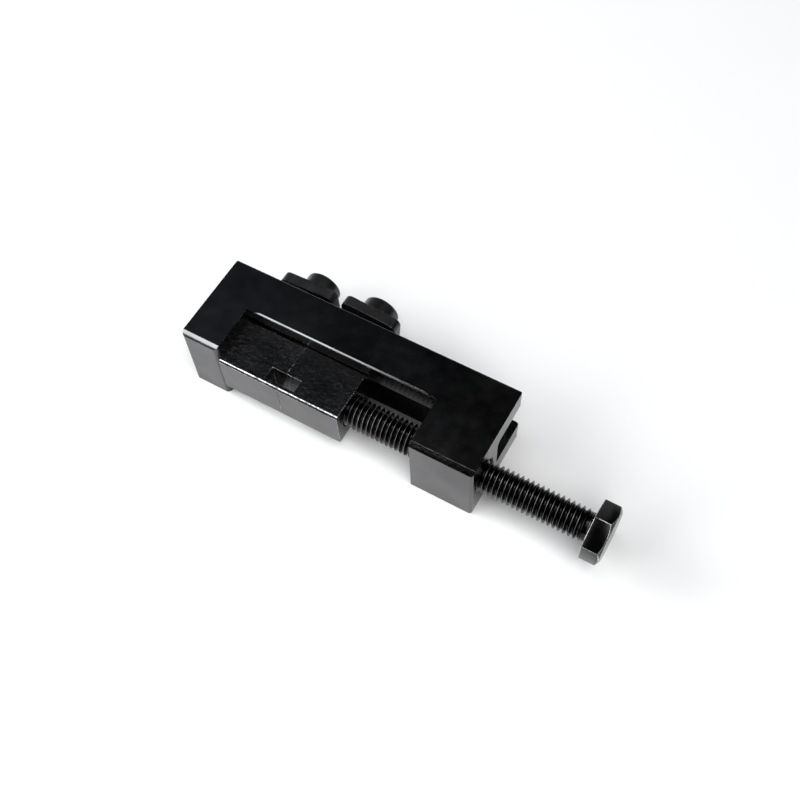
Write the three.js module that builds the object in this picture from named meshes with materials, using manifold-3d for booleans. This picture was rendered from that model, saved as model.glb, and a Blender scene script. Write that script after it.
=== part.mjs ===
// Screw-adjusted jaw jig of a skate sharpener: a slotted bar, a fixed jaw, a moving jaw, the hex
// lead screw that drives it, and a clamp plate with a cap screw behind each jaw.
// Millimetres, +X towards the lead screw's head, +Y towards the back, +Z up.
// The origin is on the bar's underside, in the middle of the rail behind the window.
import * as THREE from 'three';
import { mergeVertices } from 'three/addons/utils/BufferGeometryUtils.js';
import Module from 'manifold-3d';

const wasm = await Module();
wasm.setup();

// ---- Driving dimensions ----

const BAR = { length: 62, depth: 19.2, height: 16.2, frontBreak: 1.0, edgeRound: 0.4 };
const FLANGE = { thickness: 4.4, frontBreak: 0.35, breakRunOut: 3.0, breakTaper: 1.6 };
const CHANNEL = { depth: 9.4, cornerRound: 1.2 };
const WINDOW = { left: 8, length: 41.2, depth: 10.4, leftMouthRound: 1.0 };
const JAW = {
  width: 13,
  bottom: 3.5,
  height: 9.2,
  proud: 0.3,
  frontBreak: 0.5,
  threadEntry: 0.7,
  sideGap: 0.03,
  seamGap: 0.1,
  fixedBackGap: 0.45,
  movingBackGap: 0.2,
  tongueGap: 0.2,
  tongueEnd: 1.0,
};
const POCKET = { width: 6.4, front: 0.75, depth: 2.65 };
const SCREW = {
  diameter: 6.2,
  pitch: 1,
  threadDepth: 0.61,
  length: 55,
  setIn: 4.65,
  neckLength: 1.0,
  neckRadius: 2.8,
  headAcrossFlats: 10,
  headFaceDiameter: 9.5,
  headHeight: 3.7,
  headTurn: 3,
};
const TIP = { radius: 2.2, length: 5.2, grooveRadius: 1.45, grooveStart: 1.7, grooveWidth: 1.8 };
const PIN = { radius: 0.75, length: 6.4 };
const PLATE = { width: 12, height: 11.6, thickness: 2.1, cornerRound: 1.5 };
const FIXED_CLAMP = { standOff: 1.7, tilt: 3 };
const MOVING_CLAMP = { standOff: 2.2, tilt: -5 };
const CAP = { shankRadius: 1.95, length: 8, headRadius: 3.7, headHeight: 3.7, rimRound: 0.5 };
const SOCKET = { acrossFlats: 3, depth: 2 };

const FIT_GAP = 0.3; // round a shank or pin in its hole
const SEAT_GAP = 0.1; // under a cap screw's head
const OVERCUT = 1; // how far a cutter runs past the face it opens
const BREAK_CURVE = { back: 0.5, drop: 0.235 }; // an edge break's control point, in its sizes
const ROUND_STEPS = 5; // straight steps in one rounded corner
const SHANK_SIDES = 24;
const SCREW_SIDES = 20;

// Places that follow from the dimensions above, in the bar's frame.
const barLeft = -BAR.length / 2;
const barFront = -(WINDOW.depth + BAR.depth) / 2;
const barBack = barFront + BAR.depth;
const windowLeft = barLeft + WINDOW.left;
const windowRight = windowLeft + WINDOW.length;
const windowBack = barFront + WINDOW.depth;
const channelFloor = barBack - CHANNEL.depth;
const midHeight = BAR.height / 2;
const screwY = barFront + SCREW.setIn;
const jawFront = barFront - JAW.proud;
const jawTop = JAW.bottom + JAW.height;
const tongueBottom = FLANGE.thickness + JAW.tongueGap;
const tongueTop = BAR.height - FLANGE.thickness - JAW.tongueGap;
const tongueBack = barBack - JAW.tongueEnd;
const fixedJawLeft = windowLeft + JAW.sideGap;
const movingJawLeft = fixedJawLeft + JAW.width + JAW.seamGap;
const movingJawRight = movingJawLeft + JAW.width;
const seamX = movingJawLeft - JAW.seamGap / 2;
const deepestCapTip = barBack + PLATE.thickness + SEAT_GAP - CAP.length;
const tipStart = movingJawRight - JAW.threadEntry - TIP.length;
const headSeat = tipStart + SCREW.length;

// ---- Solids: closed meshes in, booleans, a mesh geometry out ----

function toSolid(geometry) {
  const bare = geometry.index ? geometry.toNonIndexed() : geometry.clone();
  bare.deleteAttribute('normal');
  bare.deleteAttribute('uv');
  const merged = mergeVertices(bare, 1e-4);
  const vertProperties = new Float32Array(merged.attributes.position.array);
  const triVerts = new Uint32Array(merged.index.array);
  return new wasm.Manifold(new wasm.Mesh({ numProp: 3, vertProperties, triVerts }));
}

function toGeometry(solid) {
  const mesh = solid.getMesh();
  const geometry = new THREE.BufferGeometry();
  geometry.setAttribute('position', new THREE.BufferAttribute(mesh.vertProperties, 3));
  geometry.setIndex(new THREE.BufferAttribute(mesh.triVerts, 1));
  geometry.computeVertexNormals();
  return geometry;
}

// An outline in the Y-Z plane, extruded along X from one place to another.
function alongX(shape, fromX, toX) {
  const geometry = new THREE.ExtrudeGeometry(shape, {
    depth: toX - fromX,
    bevelEnabled: false,
    curveSegments: ROUND_STEPS,
  });
  const turn = new THREE.Matrix4().makeBasis(
    new THREE.Vector3(0, 1, 0),
    new THREE.Vector3(0, 0, 1),
    new THREE.Vector3(1, 0, 0),
  );
  geometry.applyMatrix4(turn);
  geometry.translate(fromX, 0, 0);
  return toSolid(geometry);
}

// An outline in the X-Y plane, extruded upwards.
function alongZ(shape, fromZ, toZ) {
  const geometry = new THREE.ExtrudeGeometry(shape, {
    depth: toZ - fromZ,
    bevelEnabled: false,
    curveSegments: ROUND_STEPS,
  });
  geometry.translate(0, 0, fromZ);
  return toSolid(geometry);
}

// A round solid about the X axis at (y, z), from [x, radius] pairs that start and end on the axis.
function turnedAboutX(pairs, y, z, sides) {
  const points = pairs.map(([x, radius]) => new THREE.Vector2(radius, x));
  const geometry = new THREE.LatheGeometry(points, sides);
  geometry.rotateZ(-Math.PI / 2);
  geometry.translate(0, y, z);
  return toSolid(geometry);
}

// A round solid about the Y axis at (x, z), from [y, radius] pairs that start and end on the axis.
function turnedAboutY(pairs, x, z, sides) {
  const points = pairs.map(([y, radius]) => new THREE.Vector2(radius, y));
  const geometry = new THREE.LatheGeometry(points, sides);
  geometry.translate(x, 0, z);
  return toSolid(geometry);
}

function rod(pairStart, pairEnd, radius) {
  return [[pairStart, 0], [pairStart, radius], [pairEnd, radius], [pairEnd, 0]];
}

function box(low, high) {
  const size = new THREE.Vector3().subVectors(high, low);
  const geometry = new THREE.BoxGeometry(size.x, size.y, size.z);
  geometry.translate(low.x + size.x / 2, low.y + size.y / 2, low.z + size.z / 2);
  return toSolid(geometry);
}

// A rectangle from (left, low) to (right, high) with its own radius at each corner, in the order
// low left, low right, high right, high left.
function roundedRectangle(left, low, right, high, radii) {
  const [lowLeft, lowRight, highRight, highLeft] = radii;
  const shape = new THREE.Shape();
  shape.moveTo(left + lowLeft, low);
  shape.lineTo(right - lowRight, low);
  if (lowRight) shape.absarc(right - lowRight, low + lowRight, lowRight, -Math.PI / 2, 0);
  shape.lineTo(right, high - highRight);
  if (highRight) shape.absarc(right - highRight, high - highRight, highRight, 0, Math.PI / 2);
  shape.lineTo(left + highLeft, high);
  if (highLeft) shape.absarc(left + highLeft, high - highLeft, highLeft, Math.PI / 2, Math.PI);
  shape.lineTo(left, low + lowLeft);
  if (lowLeft) shape.absarc(left + lowLeft, low + lowLeft, lowLeft, Math.PI, 1.5 * Math.PI);
  return shape;
}

// ---- Frame: the slotted bar ----

function windowOutline() {
  const round = WINDOW.leftMouthRound;
  const shape = new THREE.Shape();
  shape.moveTo(windowLeft - round, barFront - OVERCUT);
  shape.lineTo(windowRight, barFront - OVERCUT);
  shape.lineTo(windowRight, windowBack);
  shape.lineTo(windowLeft, windowBack);
  shape.lineTo(windowLeft, barFront + round);
  shape.absarc(windowLeft - round, barFront + round, round, 0, -Math.PI / 2, true);
  return shape;
}

// The shallow curve that eases a front top edge, drawn from the top face down to the front.
function easeEdge(shape, front, top, size) {
  const { back, drop } = BREAK_CURVE;
  shape.quadraticCurveTo(front + back * size, top - drop * size, front, top - size);
}

// The waste that leaves a top edge along the bar, at y = front, eased.
function edgeBreakWaste(front, size, fromX, toX) {
  const top = BAR.height;
  const shape = new THREE.Shape();
  shape.moveTo(front - OVERCUT, top + OVERCUT);
  shape.lineTo(front + size, top + OVERCUT);
  shape.lineTo(front + size, top);
  easeEdge(shape, front, top, size);
  shape.lineTo(front - OVERCUT, top - size);
  return alongX(shape, fromX, toX);
}

// The top flange's front edge is eased along the window, with a cut that runs out before the
// window's corners.
function flangeEdgeWaste() {
  const { frontBreak, breakRunOut, breakTaper } = FLANGE;
  const depth = 1.5;
  const left = windowLeft + breakRunOut;
  const right = windowRight - breakRunOut;
  const deepY = windowBack + depth * frontBreak;
  const plan = new THREE.Shape();
  plan.moveTo(left - breakTaper, windowBack - OVERCUT);
  plan.lineTo(right + breakTaper, windowBack - OVERCUT);
  plan.lineTo(right + breakTaper, windowBack);
  plan.lineTo(right + (1 - depth) * breakTaper, deepY);
  plan.lineTo(left - (1 - depth) * breakTaper, deepY);
  plan.lineTo(left - breakTaper, windowBack);
  return edgeBreakWaste(windowBack, frontBreak, windowLeft, windowRight)
    .intersect(alongZ(plan, 0, BAR.height + OVERCUT));
}

function frameGeometry() {
  const section = roundedRectangle(
    barFront, 0, barBack, BAR.height,
    [BAR.edgeRound, BAR.edgeRound, BAR.edgeRound, 0],
  );
  const plan = roundedRectangle(
    barLeft, barFront, -barLeft, barBack,
    [BAR.edgeRound, BAR.edgeRound, BAR.edgeRound, BAR.edgeRound],
  );
  const channel = roundedRectangle(
    channelFloor, FLANGE.thickness, barBack + OVERCUT, BAR.height - FLANGE.thickness,
    [0, 0, 0, CHANNEL.cornerRound],
  );
  const bore = rod(windowRight - OVERCUT, -barLeft + OVERCUT, SCREW.diameter / 2 + FIT_GAP);
  const solid = alongX(section, barLeft, -barLeft)
    .intersect(alongZ(plan, -OVERCUT, BAR.height + OVERCUT))
    .subtract(edgeBreakWaste(barFront, BAR.frontBreak, barLeft - OVERCUT, OVERCUT - barLeft))
    .subtract(alongZ(windowOutline(), -OVERCUT, BAR.height + OVERCUT))
    .subtract(flangeEdgeWaste())
    .subtract(alongX(channel, barLeft - OVERCUT, -barLeft + OVERCUT))
    .subtract(turnedAboutX(bore, screwY, midHeight, SHANK_SIDES));
  return toGeometry(solid);
}

// ---- Jaws: a block in the window with a tongue in the channel ----

function jawOutline(jawBack) {
  const shape = new THREE.Shape();
  shape.moveTo(jawFront, JAW.bottom);
  shape.lineTo(jawBack, JAW.bottom);
  shape.lineTo(jawBack, tongueBottom);
  shape.lineTo(tongueBack, tongueBottom);
  shape.lineTo(tongueBack, tongueTop);
  shape.lineTo(jawBack, tongueTop);
  shape.lineTo(jawBack, jawTop);
  shape.lineTo(jawFront + JAW.frontBreak, jawTop);
  easeEdge(shape, jawFront, jawTop, JAW.frontBreak);
  return shape;
}

function pocketWaste() {
  const half = POCKET.width / 2;
  const front = barFront + POCKET.front;
  return box(
    new THREE.Vector3(seamX - half, front, JAW.bottom - OVERCUT),
    new THREE.Vector3(seamX + half, front + POCKET.depth, jawTop + OVERCUT),
  );
}

function jawSolid(leftX, backGap) {
  const clampHole = rod(deepestCapTip - FIT_GAP, tongueBack + OVERCUT, CAP.shankRadius + FIT_GAP);
  return alongX(jawOutline(windowBack - backGap), leftX, leftX + JAW.width)
    .subtract(pocketWaste())
    .subtract(turnedAboutY(clampHole, leftX + JAW.width / 2, midHeight, SHANK_SIDES));
}

const pinX = tipStart + TIP.grooveStart + TIP.grooveWidth / 2;
const pinY = screwY + TIP.grooveRadius + PIN.radius + SEAT_GAP;

function pinGeometry(radius, length) {
  const geometry = new THREE.CylinderGeometry(radius, radius, length, 16);
  geometry.rotateX(Math.PI / 2);
  geometry.translate(pinX, pinY, JAW.bottom + length / 2);
  return geometry;
}

function movingJawGeometry() {
  const threadMouth = movingJawRight - JAW.threadEntry - FIT_GAP;
  const tipBore = rod(tipStart - FIT_GAP, movingJawRight, TIP.radius + FIT_GAP);
  const threadBore = rod(threadMouth, movingJawRight + OVERCUT, SCREW.diameter / 2 + FIT_GAP);
  const pinHole = pinGeometry(PIN.radius + FIT_GAP / 2, PIN.length + FIT_GAP);
  pinHole.translate(0, 0, -FIT_GAP / 2);
  const solid = jawSolid(movingJawLeft, JAW.movingBackGap)
    .subtract(turnedAboutX(tipBore, screwY, midHeight, SHANK_SIDES))
    .subtract(turnedAboutX(threadBore, screwY, midHeight, SHANK_SIDES))
    .subtract(toSolid(pinHole));
  return toGeometry(solid);
}

// ---- Lead screw: grooved tip, threaded shank, undercut neck and hex head ----

function screwProfile() {
  const major = SCREW.diameter / 2;
  const minor = major - SCREW.threadDepth;
  const threadStart = tipStart + TIP.length;
  const neckStart = headSeat - SCREW.neckLength;
  const grooveStart = tipStart + TIP.grooveStart;
  const grooveEnd = grooveStart + TIP.grooveWidth;
  const pairs = [
    [tipStart, 0],
    [tipStart, TIP.radius],
    [grooveStart, TIP.radius],
    [grooveStart, TIP.grooveRadius],
    [grooveEnd, TIP.grooveRadius],
    [grooveEnd, TIP.radius],
    [threadStart, TIP.radius],
  ];
  for (let x = threadStart; x + SCREW.pitch <= neckStart; x += SCREW.pitch) {
    pairs.push([x, minor], [x + SCREW.pitch / 2, major]);
  }
  pairs.push([neckStart, SCREW.neckRadius], [headSeat + OVERCUT, SCREW.neckRadius], [headSeat + OVERCUT, 0]);
  return pairs;
}

function hexPrism(acrossFlats, length) {
  const radius = acrossFlats / Math.sqrt(3);
  return new THREE.CylinderGeometry(radius, radius, length, 6);
}

function hexHead() {
  const prism = hexPrism(SCREW.headAcrossFlats, SCREW.headHeight);
  prism.rotateZ(-Math.PI / 2);
  prism.rotateX(THREE.MathUtils.degToRad(SCREW.headTurn));
  prism.translate(headSeat + SCREW.headHeight / 2, screwY, midHeight);
  const faceRadius = SCREW.headFaceDiameter / 2;
  const slope = Math.tan(THREE.MathUtils.degToRad(30));
  const headEnd = headSeat + SCREW.headHeight;
  const coneLength = SCREW.headHeight;
  const dome = [
    [headEnd - coneLength, 0],
    [headEnd - coneLength, faceRadius + coneLength / slope],
    [headEnd, faceRadius],
    [headEnd, 0],
  ];
  return toSolid(prism).intersect(turnedAboutX(dome, screwY, midHeight, SHANK_SIDES));
}

function leadScrewGeometry() {
  return toGeometry(turnedAboutX(screwProfile(), screwY, midHeight, SCREW_SIDES).add(hexHead()));
}

// ---- Clamp plates and their cap screws, each about its own jaw's middle ----

function clampPlateGeometry() {
  const { width, height, cornerRound: round } = PLATE;
  const outline = roundedRectangle(-width / 2, -height / 2, width / 2, height / 2, [round, round, round, round]);
  const hole = new THREE.Path();
  hole.absarc(0, 0, CAP.shankRadius + FIT_GAP, 0, 2 * Math.PI, true);
  outline.holes.push(hole);
  const geometry = new THREE.ExtrudeGeometry(outline, {
    depth: PLATE.thickness,
    bevelEnabled: false,
    curveSegments: ROUND_STEPS,
  });
  geometry.rotateX(Math.PI / 2);
  geometry.translate(0, PLATE.thickness, 0);
  return geometry;
}

function capScrewGeometry() {
  const headEnd = CAP.headHeight;
  const rimStart = headEnd - CAP.rimRound;
  const pairs = [[-CAP.length, 0], [-CAP.length, CAP.shankRadius], [0, CAP.shankRadius], [0, CAP.headRadius]];
  for (let step = 0; step <= ROUND_STEPS; step++) {
    const angle = (step / ROUND_STEPS) * (Math.PI / 2);
    const radius = CAP.headRadius - CAP.rimRound * (1 - Math.cos(angle));
    pairs.push([rimStart + CAP.rimRound * Math.sin(angle), radius]);
  }
  pairs.push([headEnd, 0]);
  const socket = hexPrism(SOCKET.acrossFlats, SOCKET.depth + OVERCUT);
  socket.translate(0, headEnd - SOCKET.depth + (SOCKET.depth + OVERCUT) / 2, 0);
  return toGeometry(turnedAboutY(pairs, 0, 0, SHANK_SIDES).subtract(toSolid(socket)));
}

// ---- Materials and scene graph ----

const finishes = {
  bar: new THREE.MeshStandardMaterial({ color: 0x16171a, roughness: 0.38, metalness: 0.9 }),
  jaw: new THREE.MeshStandardMaterial({ color: 0x1a1b1c, roughness: 0.45, metalness: 0.9 }),
  leadScrew: new THREE.MeshStandardMaterial({ color: 0x141414, roughness: 0.35, metalness: 0.9 }),
  plate: new THREE.MeshStandardMaterial({ color: 0x242528, roughness: 0.4, metalness: 0.9 }),
  capScrew: new THREE.MeshStandardMaterial({ color: 0x202125, roughness: 0.35, metalness: 0.9 }),
  pin: new THREE.MeshStandardMaterial({ color: 0x8a8a88, roughness: 0.3, metalness: 1.0 }),
};

function named(name, geometry, material) {
  const mesh = new THREE.Mesh(geometry, material.clone());
  mesh.name = name;
  return mesh;
}

// A clamp plate standing off the bar's back, tilted about its screw, with the screw through it.
function clampSet(prefix, jawLeft, { standOff, tilt }) {
  const group = new THREE.Group();
  group.position.set(jawLeft + JAW.width / 2, 0, midHeight);
  const plate = named(`${prefix}_clamp_plate`, clampPlateGeometry(), finishes.plate);
  plate.position.y = barBack + standOff;
  plate.rotation.y = THREE.MathUtils.degToRad(-tilt);
  const screw = named(`${prefix}_clamp_screw`, capScrewGeometry(), finishes.capScrew);
  screw.position.y = plate.position.y + PLATE.thickness + SEAT_GAP;
  group.add(plate, screw);
  return group;
}

const jig = new THREE.Group();
jig.add(
  named('frame_bar', frameGeometry(), finishes.bar),
  named('fixed_jaw', toGeometry(jawSolid(fixedJawLeft, JAW.fixedBackGap)), finishes.jaw),
  named('moving_jaw', movingJawGeometry(), finishes.jaw),
  named('lead_screw', leadScrewGeometry(), finishes.leadScrew),
  named('screw_tip_pin', pinGeometry(PIN.radius, PIN.length), finishes.pin),
  clampSet('fixed', fixedJawLeft, FIXED_CLAMP),
  clampSet('moving', movingJawLeft, MOVING_CLAMP),
);

export default jig;
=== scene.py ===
import math

import bmesh
import bpy
from mathutils import Matrix, Quaternion, Vector


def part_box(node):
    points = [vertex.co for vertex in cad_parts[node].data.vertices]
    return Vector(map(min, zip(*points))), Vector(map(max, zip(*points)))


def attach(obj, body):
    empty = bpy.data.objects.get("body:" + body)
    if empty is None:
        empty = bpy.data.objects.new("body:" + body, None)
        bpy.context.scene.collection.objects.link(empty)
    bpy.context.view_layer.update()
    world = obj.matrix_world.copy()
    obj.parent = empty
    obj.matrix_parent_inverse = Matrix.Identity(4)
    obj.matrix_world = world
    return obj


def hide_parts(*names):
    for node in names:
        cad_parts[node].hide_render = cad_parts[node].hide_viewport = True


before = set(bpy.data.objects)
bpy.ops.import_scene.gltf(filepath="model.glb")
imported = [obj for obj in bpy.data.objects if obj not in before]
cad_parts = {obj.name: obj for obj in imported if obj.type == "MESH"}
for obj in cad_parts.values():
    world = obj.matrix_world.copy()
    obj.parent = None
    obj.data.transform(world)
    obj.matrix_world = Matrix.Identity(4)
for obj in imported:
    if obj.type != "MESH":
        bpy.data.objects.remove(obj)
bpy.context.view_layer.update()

# Jaw jig of a skate sharpener in black-oxide steel: a slotted bar, two jaws, the hex lead screw
# that moves one of them, and a clamp plate with a cap screw behind each jaw.
# Metres, +X towards the lead screw's head, +Y towards the clamp plates, +Z up.

MM = 0.001

# ---- Sizes: places come from the frame, and feature sizes are the part's own ----

bar_low, bar_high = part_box("frame_bar")
fixed_low, fixed_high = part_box("fixed_jaw")
moving_low, moving_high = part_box("moving_jaw")
screw_low, screw_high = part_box("lead_screw")
pin_low, pin_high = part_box("screw_tip_pin")

MID_HEIGHT = (bar_low.z + bar_high.z) / 2

BAR_FRONT_BREAK = 1.0 * MM
BAR_EDGE_ROUND = 0.35 * MM
BAR_CORNER_ROUND = 0.6 * MM
BAR_EDGE_BEVEL = 0.3 * MM
FLANGE = 4.4 * MM
FLANGE_BREAK = 0.35 * MM
BREAK_RUN_OUT = 3.0 * MM
BREAK_TAPER = 1.6 * MM
BREAK_OVERREACH = 1.5  # how far back the flange break's run-out is drawn, in its sizes
BREAK_CURVE = (0.5, 0.235)  # an edge break's control point behind and below the corner, in its sizes
CHANNEL_DEPTH = 9.4 * MM
CHANNEL_ROUND = 1.2 * MM
WINDOW_START = 8.0 * MM
WINDOW_LENGTH = 41.2 * MM
WINDOW_DEPTH = 10.4 * MM
WINDOW_LEFT_MOUTH = 1.0 * MM
BORE_CLEARANCE = 0.15 * MM
BORE_COUNTERSINK = 0.35 * MM

JAW_FRONT_BREAK = 0.5 * MM
JAW_EDGE_BEVEL = 0.07 * MM
FIXED_JAW_BACK_GAP = 0.45 * MM
MOVING_JAW_BACK_GAP = 0.2 * MM
TONGUE_GAP = 0.2 * MM
POCKET_HALF_WIDTH = 3.2 * MM
POCKET_START = 0.75 * MM
POCKET_DEPTH = 2.65 * MM
TAPPED_HOLE_DEPTH = 7.0 * MM
TAPPED_HOLE_LEAD_IN = 0.4 * MM
TAPPED_HOLE_CLEARANCE = 0.1 * MM
TIP_END_GAP = 0.3 * MM
TIP_BORE_STEP = 0.1 * MM

PIN_HOLE_RADIUS = 0.8 * MM
PIN_END_GAP = 0.1 * MM
PIN_CHAMFER = 0.2 * MM

SCREW_RADIUS = 3.1 * MM
SCREW_PITCH = 1.0 * MM
SCREW_THREAD_DEPTH = 0.61 * MM
SCREW_TIP_LENGTH = 5.2 * MM
SCREW_TIP_RADIUS = 2.2 * MM
SCREW_TIP_CHAMFER = 0.3 * MM
SCREW_TIP_OVERLAP = 0.2 * MM
SCREW_GROOVE_RADIUS = 1.45 * MM
SCREW_GROOVE = (1.7 * MM, 3.5 * MM)
SCREW_ROOT_RUN_IN = 0.3 * MM
SCREW_CREST_RUN_IN = 0.8 * MM
SCREW_NECK_RADIUS = 2.8 * MM
SCREW_NECK_LENGTH = 1.0 * MM
SCREW_NECK_OVERLAP = 0.3 * MM
HEAD_ACROSS_FLATS = 10.0 * MM
HEAD_FACE_RADIUS = 4.75 * MM
HEAD_HEIGHT = 3.7 * MM
HEAD_EDGE_BEVEL = 0.2 * MM
HEAD_CHAMFER = math.radians(30)
HEAD_TURN = math.radians(33)

PLATE_WIDTH = 12.0 * MM
PLATE_HEIGHT = 11.6 * MM
PLATE_ROUND = 1.5 * MM
PLATE_EDGE_BEVEL = 0.2 * MM
PLATE_HOLE_CLEARANCE = 0.15 * MM
PLATE_TILTS = {"fixed": math.radians(3), "moving": math.radians(-5)}

CAP_HEAD_RADIUS = 3.7 * MM
CAP_HEAD_HEIGHT = 3.7 * MM
CAP_RIM = 0.5 * MM
CAP_SEAT_CHAMFER = 0.15 * MM
CAP_SHANK_RADIUS = 1.95 * MM
CAP_SHANK_OVERLAP = 0.2 * MM
CAP_PITCH = 0.7 * MM
CAP_THREAD_DEPTH = 0.4 * MM
CAP_TIP_CHAMFER = 0.1 * MM
CAP_CREST_RUN_IN = 0.6 * MM
CAP_CREST_RUN_OUT = 0.5 * MM
SOCKET_ACROSS_FLATS = 3.0 * MM
SOCKET_DEPTH = 2.0 * MM
SOCKET_LEAD_IN = 0.25 * MM
SOCKET_LEAD_IN_OVERCUT = 0.1 * MM

OVERCUT = 1.0 * MM  # how far a cutting tool reaches past what it cuts
FACE_SLACK = 0.01 * MM
WELD_DISTANCE = 0.001 * MM

# Places that follow from those.
window_left = bar_low.x + WINDOW_START
window_right = window_left + WINDOW_LENGTH
window_back = bar_low.y + WINDOW_DEPTH
channel_floor = bar_high.y - CHANNEL_DEPTH
screw_y = (screw_low.y + screw_high.y) / 2
seam_x = (fixed_high.x + moving_low.x) / 2
head_seat = screw_high.x - HEAD_HEIGHT
thread_start = screw_low.x + SCREW_TIP_LENGTH
screw_axis = (screw_y, MID_HEIGHT)
pin_axis = ((pin_low.x + pin_high.x) / 2, (pin_low.y + pin_high.y) / 2)

# ---- Material slots: a piece's plain faces are slot 0 ----

EDGE_SLOT = 1
CREST_SLOT = 1
# The slot for painted shade and painted dark reflections.
PAINTED_SHADE_SLOT = 2
HEAD_EDGE_SLOT = 2
CORNER_SLOT = 3
TOP_SLOT = 4

# How far the front top edge's faces lean from level towards the front, in degrees.
BREAK_TILTS = (20, 62)
UPPER_BREAK_TILTS = (20, 43)
LOWER_BREAK_TILTS = (43, 62)

# Limits on a face normal's upward part.
UPRIGHT_LIMIT = 0.5
LEVEL_LIMIT = 0.95

# The least angles, in degrees, at which an edge counts as sharp.
BEVELLED_ANGLE = 32
HEAD_BEVELLED_ANGLE = 28
SCREW_SHARP_ANGLE = 25
PIN_SHARP_ANGLE = 30


# ---- Camera ----

CAMERA_AZIMUTH = math.radians(33.22)
CAMERA_ELEVATION = math.radians(60.22)
CAMERA_ROLL = math.radians(-3.90)
CAMERA_DISTANCE = 205.8 * MM
CAMERA_NEAREST = 10 * MM
CAMERA_LENS_MM = 49.22
CAMERA_SENSOR_MM = 36
AIM_FROM_RIGHT_END = 21.1 * MM
AIM_FROM_FRONT = 10.95 * MM


def direction(azimuth, elevation):
    """Unit vector from the object towards that azimuth and elevation; azimuth 0 is the front."""
    flat = math.cos(elevation)
    return Vector((math.sin(azimuth) * flat, -math.cos(azimuth) * flat, math.sin(elevation)))


def add_camera():
    data = bpy.data.cameras.new("camera")
    data.sensor_width = CAMERA_SENSOR_MM
    data.lens = CAMERA_LENS_MM
    data.clip_start = CAMERA_NEAREST
    camera = bpy.data.objects.new("camera", data)
    bpy.context.scene.collection.objects.link(camera)
    away = direction(CAMERA_AZIMUTH, CAMERA_ELEVATION)
    aim = Vector((bar_high.x - AIM_FROM_RIGHT_END, bar_low.y + AIM_FROM_FRONT, MID_HEIGHT))
    camera.location = aim + away * CAMERA_DISTANCE
    camera.rotation_mode = "QUATERNION"
    camera.rotation_quaternion = (-away).to_track_quat("-Z", "Y") @ Quaternion((0, 0, 1), CAMERA_ROLL)
    bpy.context.scene.camera = camera


# ---- Mesh helpers ----


def on_axis(axis, along, first, second):
    """A point from its place along an axis and its two others, in right-handed order."""
    if axis == "X":
        return (along, first, second)
    if axis == "Y":
        return (second, along, first)
    return (first, second, along)


def arc(centre, radius, start_degrees, end_degrees, steps=6):
    """Points of an arc, counter-clockwise if the end angle is the larger."""
    points = []
    for step in range(steps + 1):
        angle = math.radians(start_degrees + (end_degrees - start_degrees) * step / steps)
        points.append((centre[0] + radius * math.cos(angle), centre[1] + radius * math.sin(angle)))
    return points


def hexagon(centre, across_flats, turn):
    """A hexagon's corners; turn is the first corner's angle from the outline's first axis."""
    start = math.degrees(turn)
    return arc(centre, across_flats / math.sqrt(3), start, start + 360, 6)[:-1]


def add_object(name, bm):
    bmesh.ops.recalc_face_normals(bm, faces=bm.faces)
    mesh = bpy.data.meshes.new(name)
    bm.to_mesh(mesh)
    bm.free()
    obj = bpy.data.objects.new(name, mesh)
    bpy.context.scene.collection.objects.link(obj)
    return obj


def prism(name, outline, axis, start, end):
    """An outline extruded along an axis from start to end."""
    bm = bmesh.new()
    low = [bm.verts.new(on_axis(axis, start, a, b)) for a, b in outline]
    high = [bm.verts.new(on_axis(axis, end, a, b)) for a, b in outline]
    bm.faces.new(low)
    bm.faces.new(high)
    for index in range(len(outline)):
        following = (index + 1) % len(outline)
        bm.faces.new((low[index], low[following], high[following], high[index]))
    return add_object(name, bm)


def turned(name, profile, axis, centre, sides=64):
    """A round solid about an axis through centre, from (along, radius) pairs between its ends."""
    bm = bmesh.new()
    rings = []
    for along, radius in profile:
        points = arc(centre, radius, 0, 360, sides)[:-1]
        rings.append([bm.verts.new(on_axis(axis, along, a, b)) for a, b in points])
    for ring, next_ring in zip(rings, rings[1:]):
        for index in range(sides):
            following = (index + 1) % sides
            bm.faces.new((ring[index], ring[following], next_ring[following], next_ring[index]))
    bm.faces.new(rings[0])
    bm.faces.new(rings[-1])
    return add_object(name, bm)


def bake(obj):
    """Replaces the object's mesh with what its modifiers make of it."""
    graph = bpy.context.evaluated_depsgraph_get()
    mesh = bpy.data.meshes.new_from_object(obj.evaluated_get(graph))
    plain = obj.data
    obj.modifiers.clear()
    obj.data = mesh
    bpy.data.meshes.remove(plain)
    # A Boolean on uncoated pieces leaves an empty slot, which would come before the real materials.
    if not any(mesh.materials):
        mesh.materials.clear()


def combine(obj, tool, operation):
    modifier = obj.modifiers.new("combine", "BOOLEAN")
    modifier.object = tool
    modifier.operation = operation
    modifier.solver = "MANIFOLD"
    bake(obj)
    bpy.data.objects.remove(tool)


def intersect(obj, tool):
    combine(obj, tool, "INTERSECT")


def cut(obj, tool):
    combine(obj, tool, "DIFFERENCE")


def join(obj, tool):
    combine(obj, tool, "UNION")


def bevel_edges(obj, radius, sharp_degrees, slot):
    """Rounds the sharp edges, which take a material slot."""
    bevel = obj.modifiers.new("edges", "BEVEL")
    bevel.width = radius
    bevel.segments = 3
    bevel.limit_method = "ANGLE"
    bevel.angle_limit = math.radians(sharp_degrees)
    bevel.material = slot


def soften(obj, radius, slot):
    """Rounds the sharp edges and shades the piece smoothly, with its flat faces kept flat."""
    bevel_edges(obj, radius, BEVELLED_ANGLE, slot)
    normals = obj.modifiers.new("flat_faces", "WEIGHTED_NORMAL")
    normals.weight = 90
    obj.data.shade_smooth()


def smooth_rounds(obj, sharp_degrees):
    """Shades the piece smoothly except across its sharp edges."""
    obj.data.shade_smooth()
    obj.data.set_sharp_from_angle(angle=math.radians(sharp_degrees))


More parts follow.
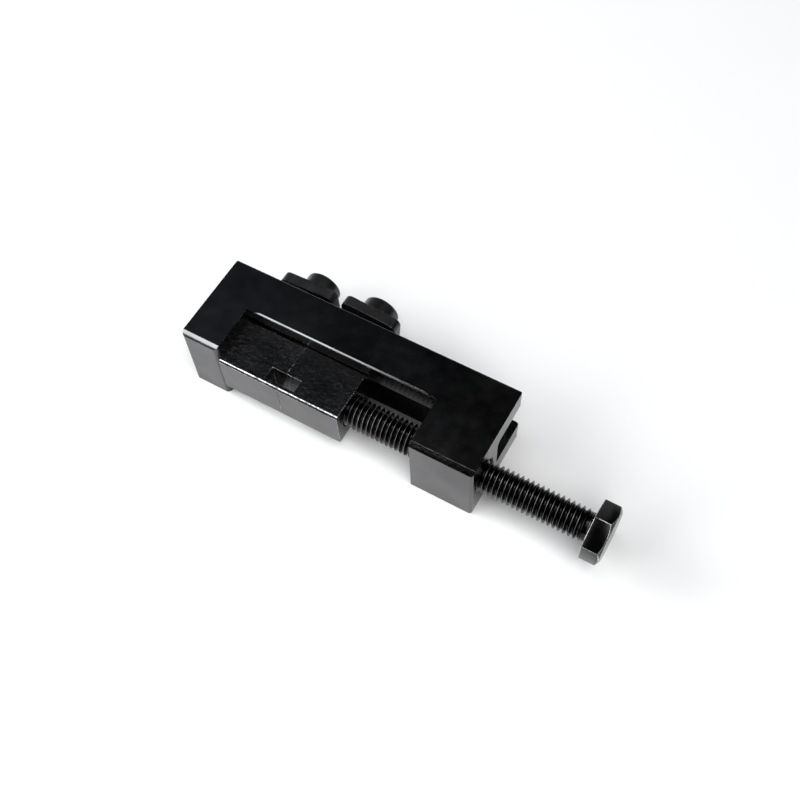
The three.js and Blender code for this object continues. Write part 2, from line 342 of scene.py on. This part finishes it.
def eased_edge(front, top, size, steps=8):
    """The shallow curve that eases a front top edge, as (y, z) from the top down."""
    points = []
    for step in range(steps + 1):
        share = step / steps
        pull = 2 * share * (1 - share)
        behind = (1 - share) ** 2 + pull * BREAK_CURVE[0]
        below = share**2 + pull * BREAK_CURVE[1]
        points.append((front + size * behind, top - size * below))
    return points


def paint_front_break_light(obj, slot, left, right, tilts):
    """Gives a material slot to the eased front top edge's faces within those places and tilts; the
    slots given hold painted highlights and painted dark reflections.
    """
    lowest = max(vert.co.z for vert in obj.data.vertices) - BAR_FRONT_BREAK
    for face in obj.data.polygons:
        tilt = math.degrees(math.atan2(-face.normal.y, face.normal.z))
        if tilts[0] < tilt < tilts[1] and face.center.z > lowest and left < face.center.x < right:
            face.material_index = slot


# ---- Threads ----

# One pitch of a 60-degree thread: (place in the pitch, height above the root), the crest's being 1.
THREAD_CREST = (0.03, 1.00)
THREAD_PROFILE = (
    (0.00, 0.93),
    THREAD_CREST,
    (0.14, 1.00),
    (0.17, 0.93),
    (0.48, 0.08),
    (0.53, 0.00),
    (0.64, 0.00),
    (0.69, 0.08),
)
SPARE_TURNS = 2  # turns drawn before the start, so that the helix has no gap there


def between(points, x):
    """The height at x of a line through (x, height) points."""
    if x <= points[0][0]:
        return points[0][1]
    for (x0, y0), (x1, y1) in zip(points, points[1:]):
        if x <= x1:
            return y0 + (y1 - y0) * (x - x0) / (x1 - x0)
    return points[-1][1]


def thread_rows(bm, axis, centre, radius, pitch, depth, lowest, highest, sides):
    """One turn of vertices for each point of the profile, in order along the rod."""
    start, end = lowest[0][0], lowest[-1][0]
    steps = len(THREAD_PROFILE)
    turns = math.ceil((end - start) / pitch) + 1
    rows = []
    for row in range(-SPARE_TURNS * steps, (turns + 1) * steps):
        turn, (phase, height) = row // steps, THREAD_PROFILE[row % steps]
        verts = []
        for side in range(sides):
            along = start + (turn + phase + side / sides) * pitch
            along = min(max(along, start), end)
            reach = radius - depth * (1 - height)
            reach = min(max(reach, between(lowest, along)), between(highest, along))
            angle = 2 * math.pi * side / sides
            point = (centre[0] + reach * math.cos(angle), centre[1] + reach * math.sin(angle))
            verts.append(bm.verts.new(on_axis(axis, along, *point)))
        rows.append(verts)
    return rows


def threaded_rod(name, axis, centre, radius, pitch, depth, lowest, highest, sides=48):
    """A right-hand thread between two limit lines of (along, radius) that meet at both ends."""
    bm = bmesh.new()
    rows = thread_rows(bm, axis, centre, radius, pitch, depth, lowest, highest, sides)
    steps = len(THREAD_PROFILE)
    for row in range(len(rows) - steps - 1):
        here, above = rows[row], rows[row + 1]
        strip = []
        for side in range(sides - 1):
            strip.append(bm.faces.new((here[side], here[side + 1], above[side + 1], above[side])))
        next_turn, next_above = rows[row + steps][0], rows[row + steps + 1][0]
        strip.append(bm.faces.new((here[-1], next_turn, next_above, above[-1])))
        if THREAD_PROFILE[row % steps] == THREAD_CREST:
            for face in strip:
                face.material_index = CREST_SLOT
    bmesh.ops.remove_doubles(bm, verts=bm.verts, dist=WELD_DISTANCE)
    loose = [vert for vert in bm.verts if not vert.link_faces]
    bmesh.ops.delete(bm, geom=loose, context="VERTS")
    rims = [edge for edge in bm.edges if edge.is_boundary]
    bmesh.ops.holes_fill(bm, edges=rims, sides=sides)
    return add_object(name, bm)


# ---- Materials ----

# Bands of noise levels over which a finish turns from one tone or gloss to another.
CLOUD_BAND = (0.35, 0.65)
SPECK_BAND = (0.79, 0.82)
SMEAR_BAND = (0.3, 0.7)

SPECK_SCALE = 2200
SPECK_LEVEL = 0.25
SMEAR_SCALE = 420
GLOSSIEST = 0.85  # the smears' least and most roughness, as shares of the finish's own
DULLEST = 1.2


class Nodes:
    """A node material with its Principled shader, and short ways to add and link nodes."""

    def __init__(self, name):
        self.material = bpy.data.materials.new(name)
        self.material.use_nodes = True
        self.tree = self.material.node_tree
        self.shader = self.tree.nodes["Principled BSDF"]
        self.coords = self.add("ShaderNodeTexCoord").outputs["Object"]

    def add(self, kind, **settings):
        node = self.tree.nodes.new(kind)
        for key, value in settings.items():
            setattr(node, key, value)
        return node

    def link(self, source, target):
        self.tree.links.new(source, target)

    def noise(self, scale, detail=3.0, roughness=0.5, offset=(0, 0, 0)):
        mapping = self.add("ShaderNodeMapping")
        mapping.inputs["Location"].default_value = offset
        self.link(self.coords, mapping.inputs["Vector"])
        noise = self.add("ShaderNodeTexNoise")
        noise.inputs["Scale"].default_value = scale
        noise.inputs["Detail"].default_value = detail
        noise.inputs["Roughness"].default_value = roughness
        self.link(mapping.outputs["Vector"], noise.inputs["Vector"])
        return noise.outputs["Fac"]

    def spread(self, source, band, to_low=0.0, to_high=1.0):
        """Stretches a band of levels to run between two values, which it doesn't pass."""
        ranged = self.add("ShaderNodeMapRange")
        self.link(source, ranged.inputs["Value"])
        values = {"From Min": band[0], "From Max": band[1], "To Min": to_low, "To Max": to_high}
        for socket, value in values.items():
            ranged.inputs[socket].default_value = value
        return ranged.outputs["Result"]

    def mix(self, factor, first, second):
        """Blends two colours, each a tuple or another node's output."""
        mix = self.add("ShaderNodeMix", data_type="RGBA")
        self.link(factor, mix.inputs["Factor"])
        for socket, colour in ((mix.inputs[6], first), (mix.inputs[7], second)):
            if isinstance(colour, tuple):
                socket.default_value = (*colour, 1)
            else:
                self.link(colour, socket)
        return mix.outputs[2]

    def bump(self, height, distance):
        bump = self.add("ShaderNodeBump")
        bump.inputs["Strength"].default_value = 1.0
        bump.inputs["Distance"].default_value = distance
        self.link(height, bump.inputs["Height"])
        return bump.outputs["Normal"]


def grey(level, blue=1.03):
    """A grey with black oxide's slight blue."""
    return (level, level, level * blue)


def neutral(level):
    return grey(level, blue=1.0)


def black_oxide(name, dark, light, roughness, pits, pit_scale=3500, cloud_scale=180):
    """Blackened steel: a cloudy tone with a few bare specks, uneven gloss and fine pits."""
    nodes = Nodes(name)
    clouds = nodes.spread(nodes.noise(cloud_scale), CLOUD_BAND)
    tone = nodes.mix(clouds, dark, light)
    bare = nodes.spread(nodes.noise(SPECK_SCALE, detail=1, offset=(5, 2, 7)), SPECK_BAND)
    nodes.link(nodes.mix(bare, tone, grey(SPECK_LEVEL)), nodes.shader.inputs["Base Color"])
    smears = nodes.noise(SMEAR_SCALE, detail=5, roughness=0.6, offset=(3, 1, 2))
    gloss = nodes.spread(smears, SMEAR_BAND, roughness * GLOSSIEST, roughness * DULLEST)
    nodes.link(gloss, nodes.shader.inputs["Roughness"])
    relief = nodes.noise(pit_scale, detail=4, roughness=0.65)
    nodes.link(nodes.bump(relief, pits), nodes.shader.inputs["Normal"])
    nodes.shader.inputs["Metallic"].default_value = 1.0
    return nodes.material


# The bar: smooth faces, a painted highlight on the front top edges at the left, and a painted dark
# reflection on the right block's front top edge.
bar_face = black_oxide(
    "bar_black_oxide", grey(0.06), grey(0.105), roughness=0.2, pits=0.001 * MM, cloud_scale=80
)
# Painted highlight: a brighter tone on the eased front edges of the left block and the top flange.
bar_edge = black_oxide("bar_edge_painted_highlight", grey(0.14), grey(0.2), roughness=0.16, pits=0.001 * MM)
# Painted dark reflection: a near-black tone on the right block's eased front edge.
bar_painted_reflection = black_oxide(
    "bar_edge_painted_dark_reflection",
    grey(0.02),
    grey(0.1),
    roughness=0.15,
    pits=0.02 * MM,
    pit_scale=2500,
    cloud_scale=2500,
)
bar_corner = black_oxide(
    "bar_worn_corner",
    grey(0.12),
    grey(0.5),
    roughness=0.25,
    pits=0.004 * MM,
    pit_scale=2500,
    cloud_scale=1300,
)

# The jaws: rough tops, smooth sides, a front edge worn bare with a painted highlight above and a
# painted dark reflection below, and painted shade in the pocket.
jaw_rough = black_oxide(
    "jaw_cast_black", grey(0.035), grey(0.055), roughness=0.2, pits=0.14 * MM, pit_scale=1300
)
jaw_pitted = black_oxide(
    "jaw_pitted_black", grey(0.045), grey(0.07), roughness=0.2, pits=0.09 * MM, pit_scale=1300
)
jaw_smooth = black_oxide(
    "jaw_black_oxide", grey(0.08), grey(0.1), roughness=0.2, pits=0.012 * MM, pit_scale=1800
)
# A front edge worn bare, brightened further as a painted highlight.
jaw_edge = black_oxide(
    "jaw_edge_wear_and_highlight",
    grey(0.15),
    grey(0.9),
    roughness=0.2,
    pits=0.03 * MM,
    pit_scale=1800,
    cloud_scale=1300,
)
# Painted shade: a near-black tone on the lower front edge, in place of a dark reflection, and on the
# pocket walls.
jaw_painted_shade = black_oxide(
    "jaw_edge_and_pocket_painted_shade",
    grey(0.01),
    grey(0.06),
    roughness=0.3,
    pits=0.02 * MM,
    pit_scale=1800,
    cloud_scale=1300,
)
# Worn corners whose bright flecks also act as painted highlights on the bevels.
jaw_corner = black_oxide(
    "jaw_corner_wear_and_highlight",
    grey(0.03),
    grey(0.6),
    roughness=0.25,
    pits=0.02 * MM,
    pit_scale=1800,
    cloud_scale=1500,
)
jaw_finishes = [jaw_smooth, jaw_edge, jaw_painted_shade, jaw_corner]

# The lead screw: darker than the rest, with painted highlights on its crests and its head's edges.
screw_face = black_oxide(
    "screw_black_oxide", neutral(0.02), neutral(0.034), roughness=0.2, pits=0.003 * MM
)
# Painted highlight: a brighter tone on the thread crests.
screw_crest = black_oxide(
    "screw_crest_painted_highlight", neutral(0.08), neutral(0.2), roughness=0.35, pits=0.004 * MM
)
# Painted highlight: a brighter tone on the head's bevelled edges.
screw_edge = black_oxide(
    "screw_edge_painted_highlight",
    neutral(0.15),
    neutral(0.6),
    roughness=0.2,
    pits=0.004 * MM,
    pit_scale=1800,
    cloud_scale=1300,
)

# The clamp plates and cap screws: satin, and little worn.
clamp_face = black_oxide(
    "clamp_black_oxide", grey(0.06), grey(0.085), roughness=0.36, pits=0.004 * MM
)
clamp_edge = black_oxide("clamp_worn_edge", grey(0.12), grey(0.18), roughness=0.3, pits=0.002 * MM)

# The retaining pin: bare ground steel.
pin_steel = black_oxide("pin_ground_steel", grey(0.45), grey(0.55), roughness=0.25, pits=0.001 * MM)


def coat(obj, materials):
    for material in materials:
        obj.data.materials.append(material)


def finish_piece(obj, body, nodes_replaced, materials):
    """Gives a piece its materials, its body and the CAD nodes it stands for."""
    coat(obj, materials)
    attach(obj, body)
    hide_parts(*nodes_replaced)


# ---- Frame bar ----


def bar_outline():
    """The bar's C-shaped section as (y, z), from its low front corner."""
    front, back = bar_low.y, bar_high.y
    low, high = bar_low.z, bar_high.z
    edge, fillet = BAR_EDGE_ROUND, CHANNEL_ROUND
    lower_lip, upper_lip = low + FLANGE, high - FLANGE
    return [
        (front, low),
        *arc((back - edge, low + edge), edge, 270, 360),
        (back, lower_lip),
        (channel_floor, lower_lip),
        *arc((channel_floor + fillet, upper_lip - fillet), fillet, 180, 90),
        (back, upper_lip),
        *arc((back - edge, high - edge), edge, 0, 90),
        *eased_edge(front, high, BAR_FRONT_BREAK),
    ]


def bar_plan():
    """The bar's outline from above as (x, y), with its four corners rounded."""
    corner = BAR_CORNER_ROUND
    left, right = bar_low.x + corner, bar_high.x - corner
    front, back = bar_low.y + corner, bar_high.y - corner
    points = []
    for quarter, centre in enumerate(((right, back), (left, back), (left, front), (right, front))):
        points += arc(centre, corner, 90 * quarter, 90 * quarter + 90)
    return points


def window_outline():
    """The window from above as (x, y), its left mouth rounded into the bar's front."""
    mouth = WINDOW_LEFT_MOUTH
    front = bar_low.y
    return [
        (window_left - mouth, front - OVERCUT),
        (window_right, front - OVERCUT),
        (window_right, window_back),
        (window_left, window_back),
        *arc((window_left - mouth, front + mouth), mouth, 0, -90),
    ]


def flange_edge_waste():
    """What is cut from the top flange's front edge: an easing that runs out before the corners."""
    size, top = FLANGE_BREAK, bar_high.z
    section = [
        (window_back - OVERCUT, top + OVERCUT),
        (window_back + size, top + OVERCUT),
        *eased_edge(window_back, top, size),
        (window_back - OVERCUT, top - size),
    ]
    waste = prism("flange_edge", section, "X", window_left, window_right)
    left, right = window_left + BREAK_RUN_OUT, window_right - BREAK_RUN_OUT
    inset = (BREAK_OVERREACH - 1) * BREAK_TAPER
    furthest_back = window_back + BREAK_OVERREACH * size
    run_out = [
        (left - BREAK_TAPER, window_back - OVERCUT),
        (right + BREAK_TAPER, window_back - OVERCUT),
        (right + BREAK_TAPER, window_back),
        (right - inset, furthest_back),
        (left + inset, furthest_back),
        (left - BREAK_TAPER, window_back),
    ]
    intersect(waste, prism("run_out", run_out, "Z", bar_low.z, top + OVERCUT))
    return waste


def screw_bore_tool():
    """The lead screw's hole through the right block, countersunk at both ends."""
    clear = SCREW_RADIUS + BORE_CLEARANCE
    bore = [
        (window_right - OVERCUT, clear + BORE_COUNTERSINK + OVERCUT),
        (window_right + BORE_COUNTERSINK, clear),
        (bar_high.x - BORE_COUNTERSINK, clear),
        (bar_high.x + OVERCUT, clear + BORE_COUNTERSINK + OVERCUT),
    ]
    return turned("bore", bore, "X", screw_axis)


def make_bar():
    below, above = bar_low.z - OVERCUT, bar_high.z + OVERCUT
    bar = prism("frame_bar_steel", bar_outline(), "X", bar_low.x, bar_high.x)
    intersect(bar, prism("plan", bar_plan(), "Z", below, above))
    cut(bar, prism("window", window_outline(), "Z", below, above))
    cut(bar, flange_edge_waste())
    cut(bar, screw_bore_tool())
    # Painted highlight on the eased front edges left of the right block; painted dark reflection on
    # the right block's.
    paint_front_break_light(bar, EDGE_SLOT, bar_low.x, window_right, BREAK_TILTS)
    paint_front_break_light(bar, PAINTED_SHADE_SLOT, window_right, bar_high.x, BREAK_TILTS)
    soften(bar, BAR_EDGE_BEVEL, CORNER_SLOT)
    finish_piece(bar, "frame", ["frame_bar"], [bar_face, bar_edge, bar_painted_reflection, bar_corner])


# ---- Jaws ----


def jaw_outline(low, high, back_gap):
    """A jaw's side as (y, z): the block, and the thinner tongue behind it."""
    step = window_back - back_gap
    tongue_low = bar_low.z + FLANGE + TONGUE_GAP
    tongue_high = bar_high.z - FLANGE - TONGUE_GAP
    return [
        (low.y, low.z),
        (step, low.z),
        (step, tongue_low),
        (high.y, tongue_low),
        (high.y, tongue_high),
        (step, tongue_high),
        (step, high.z),
        *eased_edge(low.y, high.z, JAW_FRONT_BREAK, 5),
    ]


def make_jaw(name, low, high, back_gap):
    """A jaw's block and tongue, with its half of the pocket and its tapped hole."""
    jaw = prism(name, jaw_outline(low, high, back_gap), "X", low.x, high.x)
    pocket_front = bar_low.y + POCKET_START
    pocket = [
        (seam_x - POCKET_HALF_WIDTH, pocket_front),
        (seam_x + POCKET_HALF_WIDTH, pocket_front),
        (seam_x + POCKET_HALF_WIDTH, pocket_front + POCKET_DEPTH),
        (seam_x - POCKET_HALF_WIDTH, pocket_front + POCKET_DEPTH),
    ]
    cut(jaw, prism("pocket", pocket, "Z", low.z - OVERCUT, high.z + OVERCUT))
    clear = CAP_SHANK_RADIUS + TAPPED_HOLE_CLEARANCE
    clamp_hole = [
        (high.y - TAPPED_HOLE_DEPTH, clear),
        (high.y - TAPPED_HOLE_LEAD_IN, clear),
        (high.y + OVERCUT, clear + OVERCUT),
    ]
    cut(jaw, turned("clamp_hole", clamp_hole, "Y", (MID_HEIGHT, (low.x + high.x) / 2)))
    return jaw


def mark_jaw_wear_light_and_top(jaw, low, high):
    """Marks the front edge, worn bare with a painted highlight above and a painted dark reflection
    below, the pocket walls with painted shade, and the top.
    """
    # Painted highlight on the worn upper front edge, painted dark reflection on the lower.
    paint_front_break_light(jaw, EDGE_SLOT, low.x, high.x, UPPER_BREAK_TILTS)
    paint_front_break_light(jaw, PAINTED_SHADE_SLOT, low.x, high.x, LOWER_BREAK_TILTS)
    pocket_reach = POCKET_HALF_WIDTH + FACE_SLACK
    pocket_front = low.y + JAW_FRONT_BREAK
    pocket_back = bar_low.y + POCKET_START + POCKET_DEPTH + FACE_SLACK
    # The pocket's walls get painted shade; the level top faces get the top finish.
    for face in jaw.data.polygons:
        near_seam = abs(face.center.x - seam_x) < pocket_reach
        in_pocket = near_seam and pocket_front < face.center.y < pocket_back
        if in_pocket and abs(face.normal.z) < UPRIGHT_LIMIT:
            face.material_index = PAINTED_SHADE_SLOT
        elif face.normal.z > LEVEL_LIMIT and face.center.z > MID_HEIGHT:
            face.material_index = TOP_SLOT


def make_fixed_jaw():
    jaw = make_jaw("fixed_jaw_block", fixed_low, fixed_high, FIXED_JAW_BACK_GAP)
    mark_jaw_wear_light_and_top(jaw, fixed_low, fixed_high)
    soften(jaw, JAW_EDGE_BEVEL, CORNER_SLOT)
    finish_piece(jaw, "frame", ["fixed_jaw"], [*jaw_finishes, jaw_rough])


def make_moving_jaw():
    jaw = make_jaw("moving_jaw_block", moving_low, moving_high, MOVING_JAW_BACK_GAP)
    tip_clear = SCREW_TIP_RADIUS + BORE_CLEARANCE
    thread_clear = SCREW_RADIUS + BORE_CLEARANCE
    bore = [
        (screw_low.x - TIP_END_GAP, tip_clear),
        (thread_start - TIP_END_GAP, tip_clear),
        (thread_start - TIP_END_GAP + TIP_BORE_STEP, thread_clear),
        (moving_high.x + OVERCUT, thread_clear),
    ]
    cut(jaw, turned("screw_bore", bore, "X", screw_axis))
    pin_hole = [(moving_low.z - OVERCUT, PIN_HOLE_RADIUS), (pin_high.z + PIN_END_GAP, PIN_HOLE_RADIUS)]
    cut(jaw, turned("pin_hole", pin_hole, "Z", pin_axis, sides=32))
    mark_jaw_wear_light_and_top(jaw, moving_low, moving_high)
    soften(jaw, JAW_EDGE_BEVEL, CORNER_SLOT)
    finish_piece(jaw, "jaw_slider", ["moving_jaw"], [*jaw_finishes, jaw_pitted])


def make_retaining_pin():
    radius = (pin_high.x - pin_low.x) / 2
    profile = [
        (pin_low.z, radius - PIN_CHAMFER),
        (pin_low.z + PIN_CHAMFER, radius),
        (pin_high.z - PIN_CHAMFER, radius),
        (pin_high.z, radius - PIN_CHAMFER),
    ]
    pin = turned("screw_tip_retaining_pin", profile, "Z", pin_axis, sides=32)
    smooth_rounds(pin, PIN_SHARP_ANGLE)
    finish_piece(pin, "jaw_slider", ["screw_tip_pin"], [pin_steel])


# ---- Lead screw ----


def lead_screw_thread():
    """The threaded length, and the plain neck that reaches into the head."""
    root = SCREW_RADIUS - SCREW_THREAD_DEPTH
    neck = head_seat - SCREW_NECK_LENGTH
    neck_end = head_seat + SCREW_NECK_OVERLAP
    lowest = [
        (thread_start, SCREW_TIP_RADIUS),
        (thread_start + SCREW_ROOT_RUN_IN, root),
        (neck - SCREW_PITCH, root),
        (neck, SCREW_NECK_RADIUS),
        (neck_end, SCREW_NECK_RADIUS),
    ]
    highest = [
        (thread_start, SCREW_TIP_RADIUS),
        (thread_start + SCREW_CREST_RUN_IN, SCREW_RADIUS),
        (neck - 0.5 * SCREW_PITCH, SCREW_RADIUS),
        (neck, SCREW_NECK_RADIUS),
        (neck_end, SCREW_NECK_RADIUS),
    ]
    return threaded_rod(
        "lead_screw_steel",
        "X",
        screw_axis,
        SCREW_RADIUS,
        SCREW_PITCH,
        SCREW_THREAD_DEPTH,
        lowest,
        highest,
    )


def lead_screw_tip():
    """The plain tip, with the groove that the retaining pin runs in."""
    groove_start, groove_end = (screw_low.x + place for place in SCREW_GROOVE)
    profile = [
        (screw_low.x, SCREW_TIP_RADIUS - SCREW_TIP_CHAMFER),
        (screw_low.x + SCREW_TIP_CHAMFER, SCREW_TIP_RADIUS),
        (groove_start, SCREW_TIP_RADIUS),
        (groove_start, SCREW_GROOVE_RADIUS),
        (groove_end, SCREW_GROOVE_RADIUS),
        (groove_end, SCREW_TIP_RADIUS),
        (thread_start + SCREW_TIP_OVERLAP, SCREW_TIP_RADIUS - FACE_SLACK),
    ]
    return turned("tip", profile, "X", screw_axis, sides=48)


def lead_screw_head():
    """The hex head, its corners chamfered round the outer face."""
    corners = hexagon(screw_axis, HEAD_ACROSS_FLATS, HEAD_TURN)
    head = prism("head", corners, "X", head_seat, screw_high.x)
    rise = HEAD_HEIGHT / 2
    widest = HEAD_FACE_RADIUS + rise / math.tan(HEAD_CHAMFER)
    dome = [
        (head_seat - OVERCUT, widest),
        (screw_high.x - rise, widest),
        (screw_high.x, HEAD_FACE_RADIUS),
    ]
    intersect(head, turned("dome", dome, "X", screw_axis, sides=96))
    return head


def make_lead_screw():
    screw = lead_screw_thread()
    tip = lead_screw_tip()
    head = lead_screw_head()
    for piece in (screw, tip, head):
        coat(piece, [screw_face, screw_crest, screw_edge])
    bevel_edges(head, HEAD_EDGE_BEVEL, HEAD_BEVELLED_ANGLE, HEAD_EDGE_SLOT)
    bake(head)
    join(screw, tip)
    join(screw, head)
    smooth_rounds(screw, SCREW_SHARP_ANGLE)
    finish_piece(screw, "screw", ["lead_screw"], [])


# ---- Clamp plates and cap screws ----


def plate_outline(centre, tilt):
    """A rounded rectangle as (z, x) about a centre, its width along X, turned by tilt about Y."""
    half_x, half_z = PLATE_WIDTH / 2 - PLATE_ROUND, PLATE_HEIGHT / 2 - PLATE_ROUND
    points = []
    for quarter, (side_z, side_x) in enumerate(((1, 1), (-1, 1), (-1, -1), (1, -1))):
        start = 90 * quarter
        points += arc((side_z * half_z, side_x * half_x), PLATE_ROUND, start, start + 90)
    turn = Matrix.Rotation(-tilt, 2)
    return [tuple(Vector(centre) + turn @ Vector(point)) for point in points]


def make_clamp_plate(prefix, body):
    low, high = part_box(f"{prefix}_clamp_plate")
    centre = (MID_HEIGHT, (low.x + high.x) / 2)
    outline = plate_outline(centre, PLATE_TILTS[prefix])
    plate = prism(f"{prefix}_clamp_plate_steel", outline, "Y", low.y, high.y)
    clear = CAP_SHANK_RADIUS + PLATE_HOLE_CLEARANCE
    cut(plate, turned("hole", [(low.y - OVERCUT, clear), (high.y + OVERCUT, clear)], "Y", centre))
    soften(plate, PLATE_EDGE_BEVEL, EDGE_SLOT)
    finish_piece(plate, body, [f"{prefix}_clamp_plate"], [clamp_face, clamp_edge])


def cap_screw_thread(name, centre, end, seat):
    """The cap screw's threaded shank, from its end to just inside its head."""
    root = CAP_SHANK_RADIUS - CAP_THREAD_DEPTH
    tip = root - CAP_TIP_CHAMFER
    lowest = [(end, tip), (end + CAP_TIP_CHAMFER, root), (seat + CAP_SHANK_OVERLAP, root)]
    highest = [
        (end, tip),
        (end + CAP_CREST_RUN_IN, CAP_SHANK_RADIUS),
        (seat - CAP_CREST_RUN_OUT, CAP_SHANK_RADIUS),
        (seat, root),
        (seat + CAP_SHANK_OVERLAP, root),
    ]
    return threaded_rod(
        name, "Y", centre, CAP_SHANK_RADIUS, CAP_PITCH, CAP_THREAD_DEPTH, lowest, highest, sides=36
    )


def cap_screw_head(centre, seat, top):
    """The cap screw's round head, with its hex socket."""
    rim = arc((top - CAP_RIM, CAP_HEAD_RADIUS - CAP_RIM), CAP_RIM, 90, 0)
    profile = [
        (seat, CAP_HEAD_RADIUS - CAP_SEAT_CHAMFER),
        (seat + CAP_SEAT_CHAMFER, CAP_HEAD_RADIUS),
        *rim,
    ]
    head = turned("head", profile, "Y", centre, sides=72)
    corners = hexagon(centre, SOCKET_ACROSS_FLATS, 0)
    cut(head, prism("socket", corners, "Y", top - SOCKET_DEPTH, top + OVERCUT))
    mouth = SOCKET_ACROSS_FLATS / math.sqrt(3)
    lead_in = [
        (top - SOCKET_LEAD_IN, mouth - SOCKET_LEAD_IN),
        (top + SOCKET_LEAD_IN_OVERCUT, mouth + SOCKET_LEAD_IN_OVERCUT),
    ]
    cut(head, turned("lead_in", lead_in, "Y", centre, sides=48))
    return head


def make_cap_screw(prefix, body):
    low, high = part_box(f"{prefix}_clamp_screw")
    centre = (MID_HEIGHT, (low.x + high.x) / 2)
    seat = high.y - CAP_HEAD_HEIGHT
    screw = cap_screw_thread(f"{prefix}_clamp_cap_screw", centre, low.y, seat)
    head = cap_screw_head(centre, seat, high.y)
    for piece in (screw, head):
        coat(piece, [clamp_face, clamp_edge])
    join(screw, head)
    smooth_rounds(screw, SCREW_SHARP_ANGLE)
    finish_piece(screw, body, [f"{prefix}_clamp_screw"], [])


# ---- Studio ----

FLOOR_RADIUS = 0.7
FLOOR_GAP = 0.02 * MM
FLOOR_TONES = ((0.93, 0.93, 0.93), (0.96, 0.96, 0.96))
FLOOR_CLOUD_SCALE = 20

ROOM_COLOUR = (0.7, 0.85, 1.0, 1)
BACKDROP_COLOUR = (1, 1, 1, 1)
# The room is brightest to the left, and dim from a little left of the middle onwards.
ROOM_GLOW = {"From Min": -1.0, "From Max": -0.25, "To Min": 0.4, "To Max": 0.008}


def add_floor():
    bm = bmesh.new()
    bmesh.ops.create_circle(bm, cap_ends=True, radius=FLOOR_RADIUS, segments=96)
    floor = add_object("studio_floor", bm)
    floor.location.z = bar_low.z - FLOOR_GAP
    nodes = Nodes("floor_white")
    tone = nodes.mix(nodes.noise(FLOOR_CLOUD_SCALE), *FLOOR_TONES)
    nodes.link(tone, nodes.shader.inputs["Base Color"])
    nodes.shader.inputs["Roughness"].default_value = 0.8
    floor.data.materials.append(nodes.material)


def add_world():
    """A dim room that the steel reflects, behind a backdrop that the camera sees as pale."""
    world = bpy.data.worlds.new("studio")
    world.use_nodes = True
    tree = world.node_tree
    room = tree.nodes["Background"]
    room.inputs["Color"].default_value = ROOM_COLOUR
    place = tree.nodes.new("ShaderNodeSeparateXYZ")
    tree.links.new(tree.nodes.new("ShaderNodeTexCoord").outputs["Generated"], place.inputs[0])
    glow = tree.nodes.new("ShaderNodeMapRange")
    tree.links.new(place.outputs["X"], glow.inputs["Value"])
    for socket, value in ROOM_GLOW.items():
        glow.inputs[socket].default_value = value
    tree.links.new(glow.outputs["Result"], room.inputs["Strength"])
    backdrop = tree.nodes.new("ShaderNodeBackground")
    backdrop.inputs["Color"].default_value = BACKDROP_COLOUR
    seen = tree.nodes.new("ShaderNodeLightPath").outputs["Is Camera Ray"]
    choice = tree.nodes.new("ShaderNodeMixShader")
    tree.links.new(seen, choice.inputs["Fac"])
    tree.links.new(room.outputs["Background"], choice.inputs[1])
    tree.links.new(backdrop.outputs["Background"], choice.inputs[2])
    tree.links.new(choice.outputs["Shader"], tree.nodes["World Output"].inputs["Surface"])
    bpy.context.scene.world = world


def add_area_light(name, azimuth, elevation, distance, size, watts, aside=0.0):
    """A soft box facing the bar's middle from that direction, moved sideways by aside."""
    data = bpy.data.lights.new(name, "AREA")
    data.shape = "RECTANGLE"
    data.size, data.size_y = size
    data.energy = watts
    light = bpy.data.objects.new(name, data)
    light.visible_camera = False
    bpy.context.scene.collection.objects.link(light)
    away = direction(math.radians(azimuth), math.radians(elevation))
    light.location = away * distance + Vector((aside, 0, 0))
    light.rotation_mode = "QUATERNION"
    light.rotation_quaternion = (-away).to_track_quat("-Z", "Y")


def add_studio():
    add_floor()
    add_world()
    bpy.context.scene.view_settings.view_transform = "Standard"
    add_area_light("key_left", azimuth=285, elevation=32, distance=0.6, size=(0.3, 0.24), watts=1.6)
    add_area_light(
        "front_left",
        azimuth=0,
        elevation=36,
        distance=0.55,
        size=(0.35, 0.42),
        watts=1.9,
        aside=-0.345,
    )
    add_area_light("overhead", azimuth=265, elevation=82, distance=1.0, size=(0.3, 0.3), watts=1.4)
    add_area_light("camera_side", azimuth=60, elevation=62, distance=1.2, size=(0.9, 0.9), watts=11)
    add_area_light("rear_low", azimuth=196, elevation=12, distance=0.8, size=(0.5, 0.3), watts=0.3)


add_camera()
make_bar()
make_fixed_jaw()
make_moving_jaw()
make_retaining_pin()
make_lead_screw()
for prefix, plate_body, cap_body in (
    ("fixed", "fixed_plate", "fixed_cap"),
    ("moving", "moving_plate", "moving_cap"),
):
    make_clamp_plate(prefix, plate_body)
    make_cap_screw(prefix, cap_body)
add_studio()
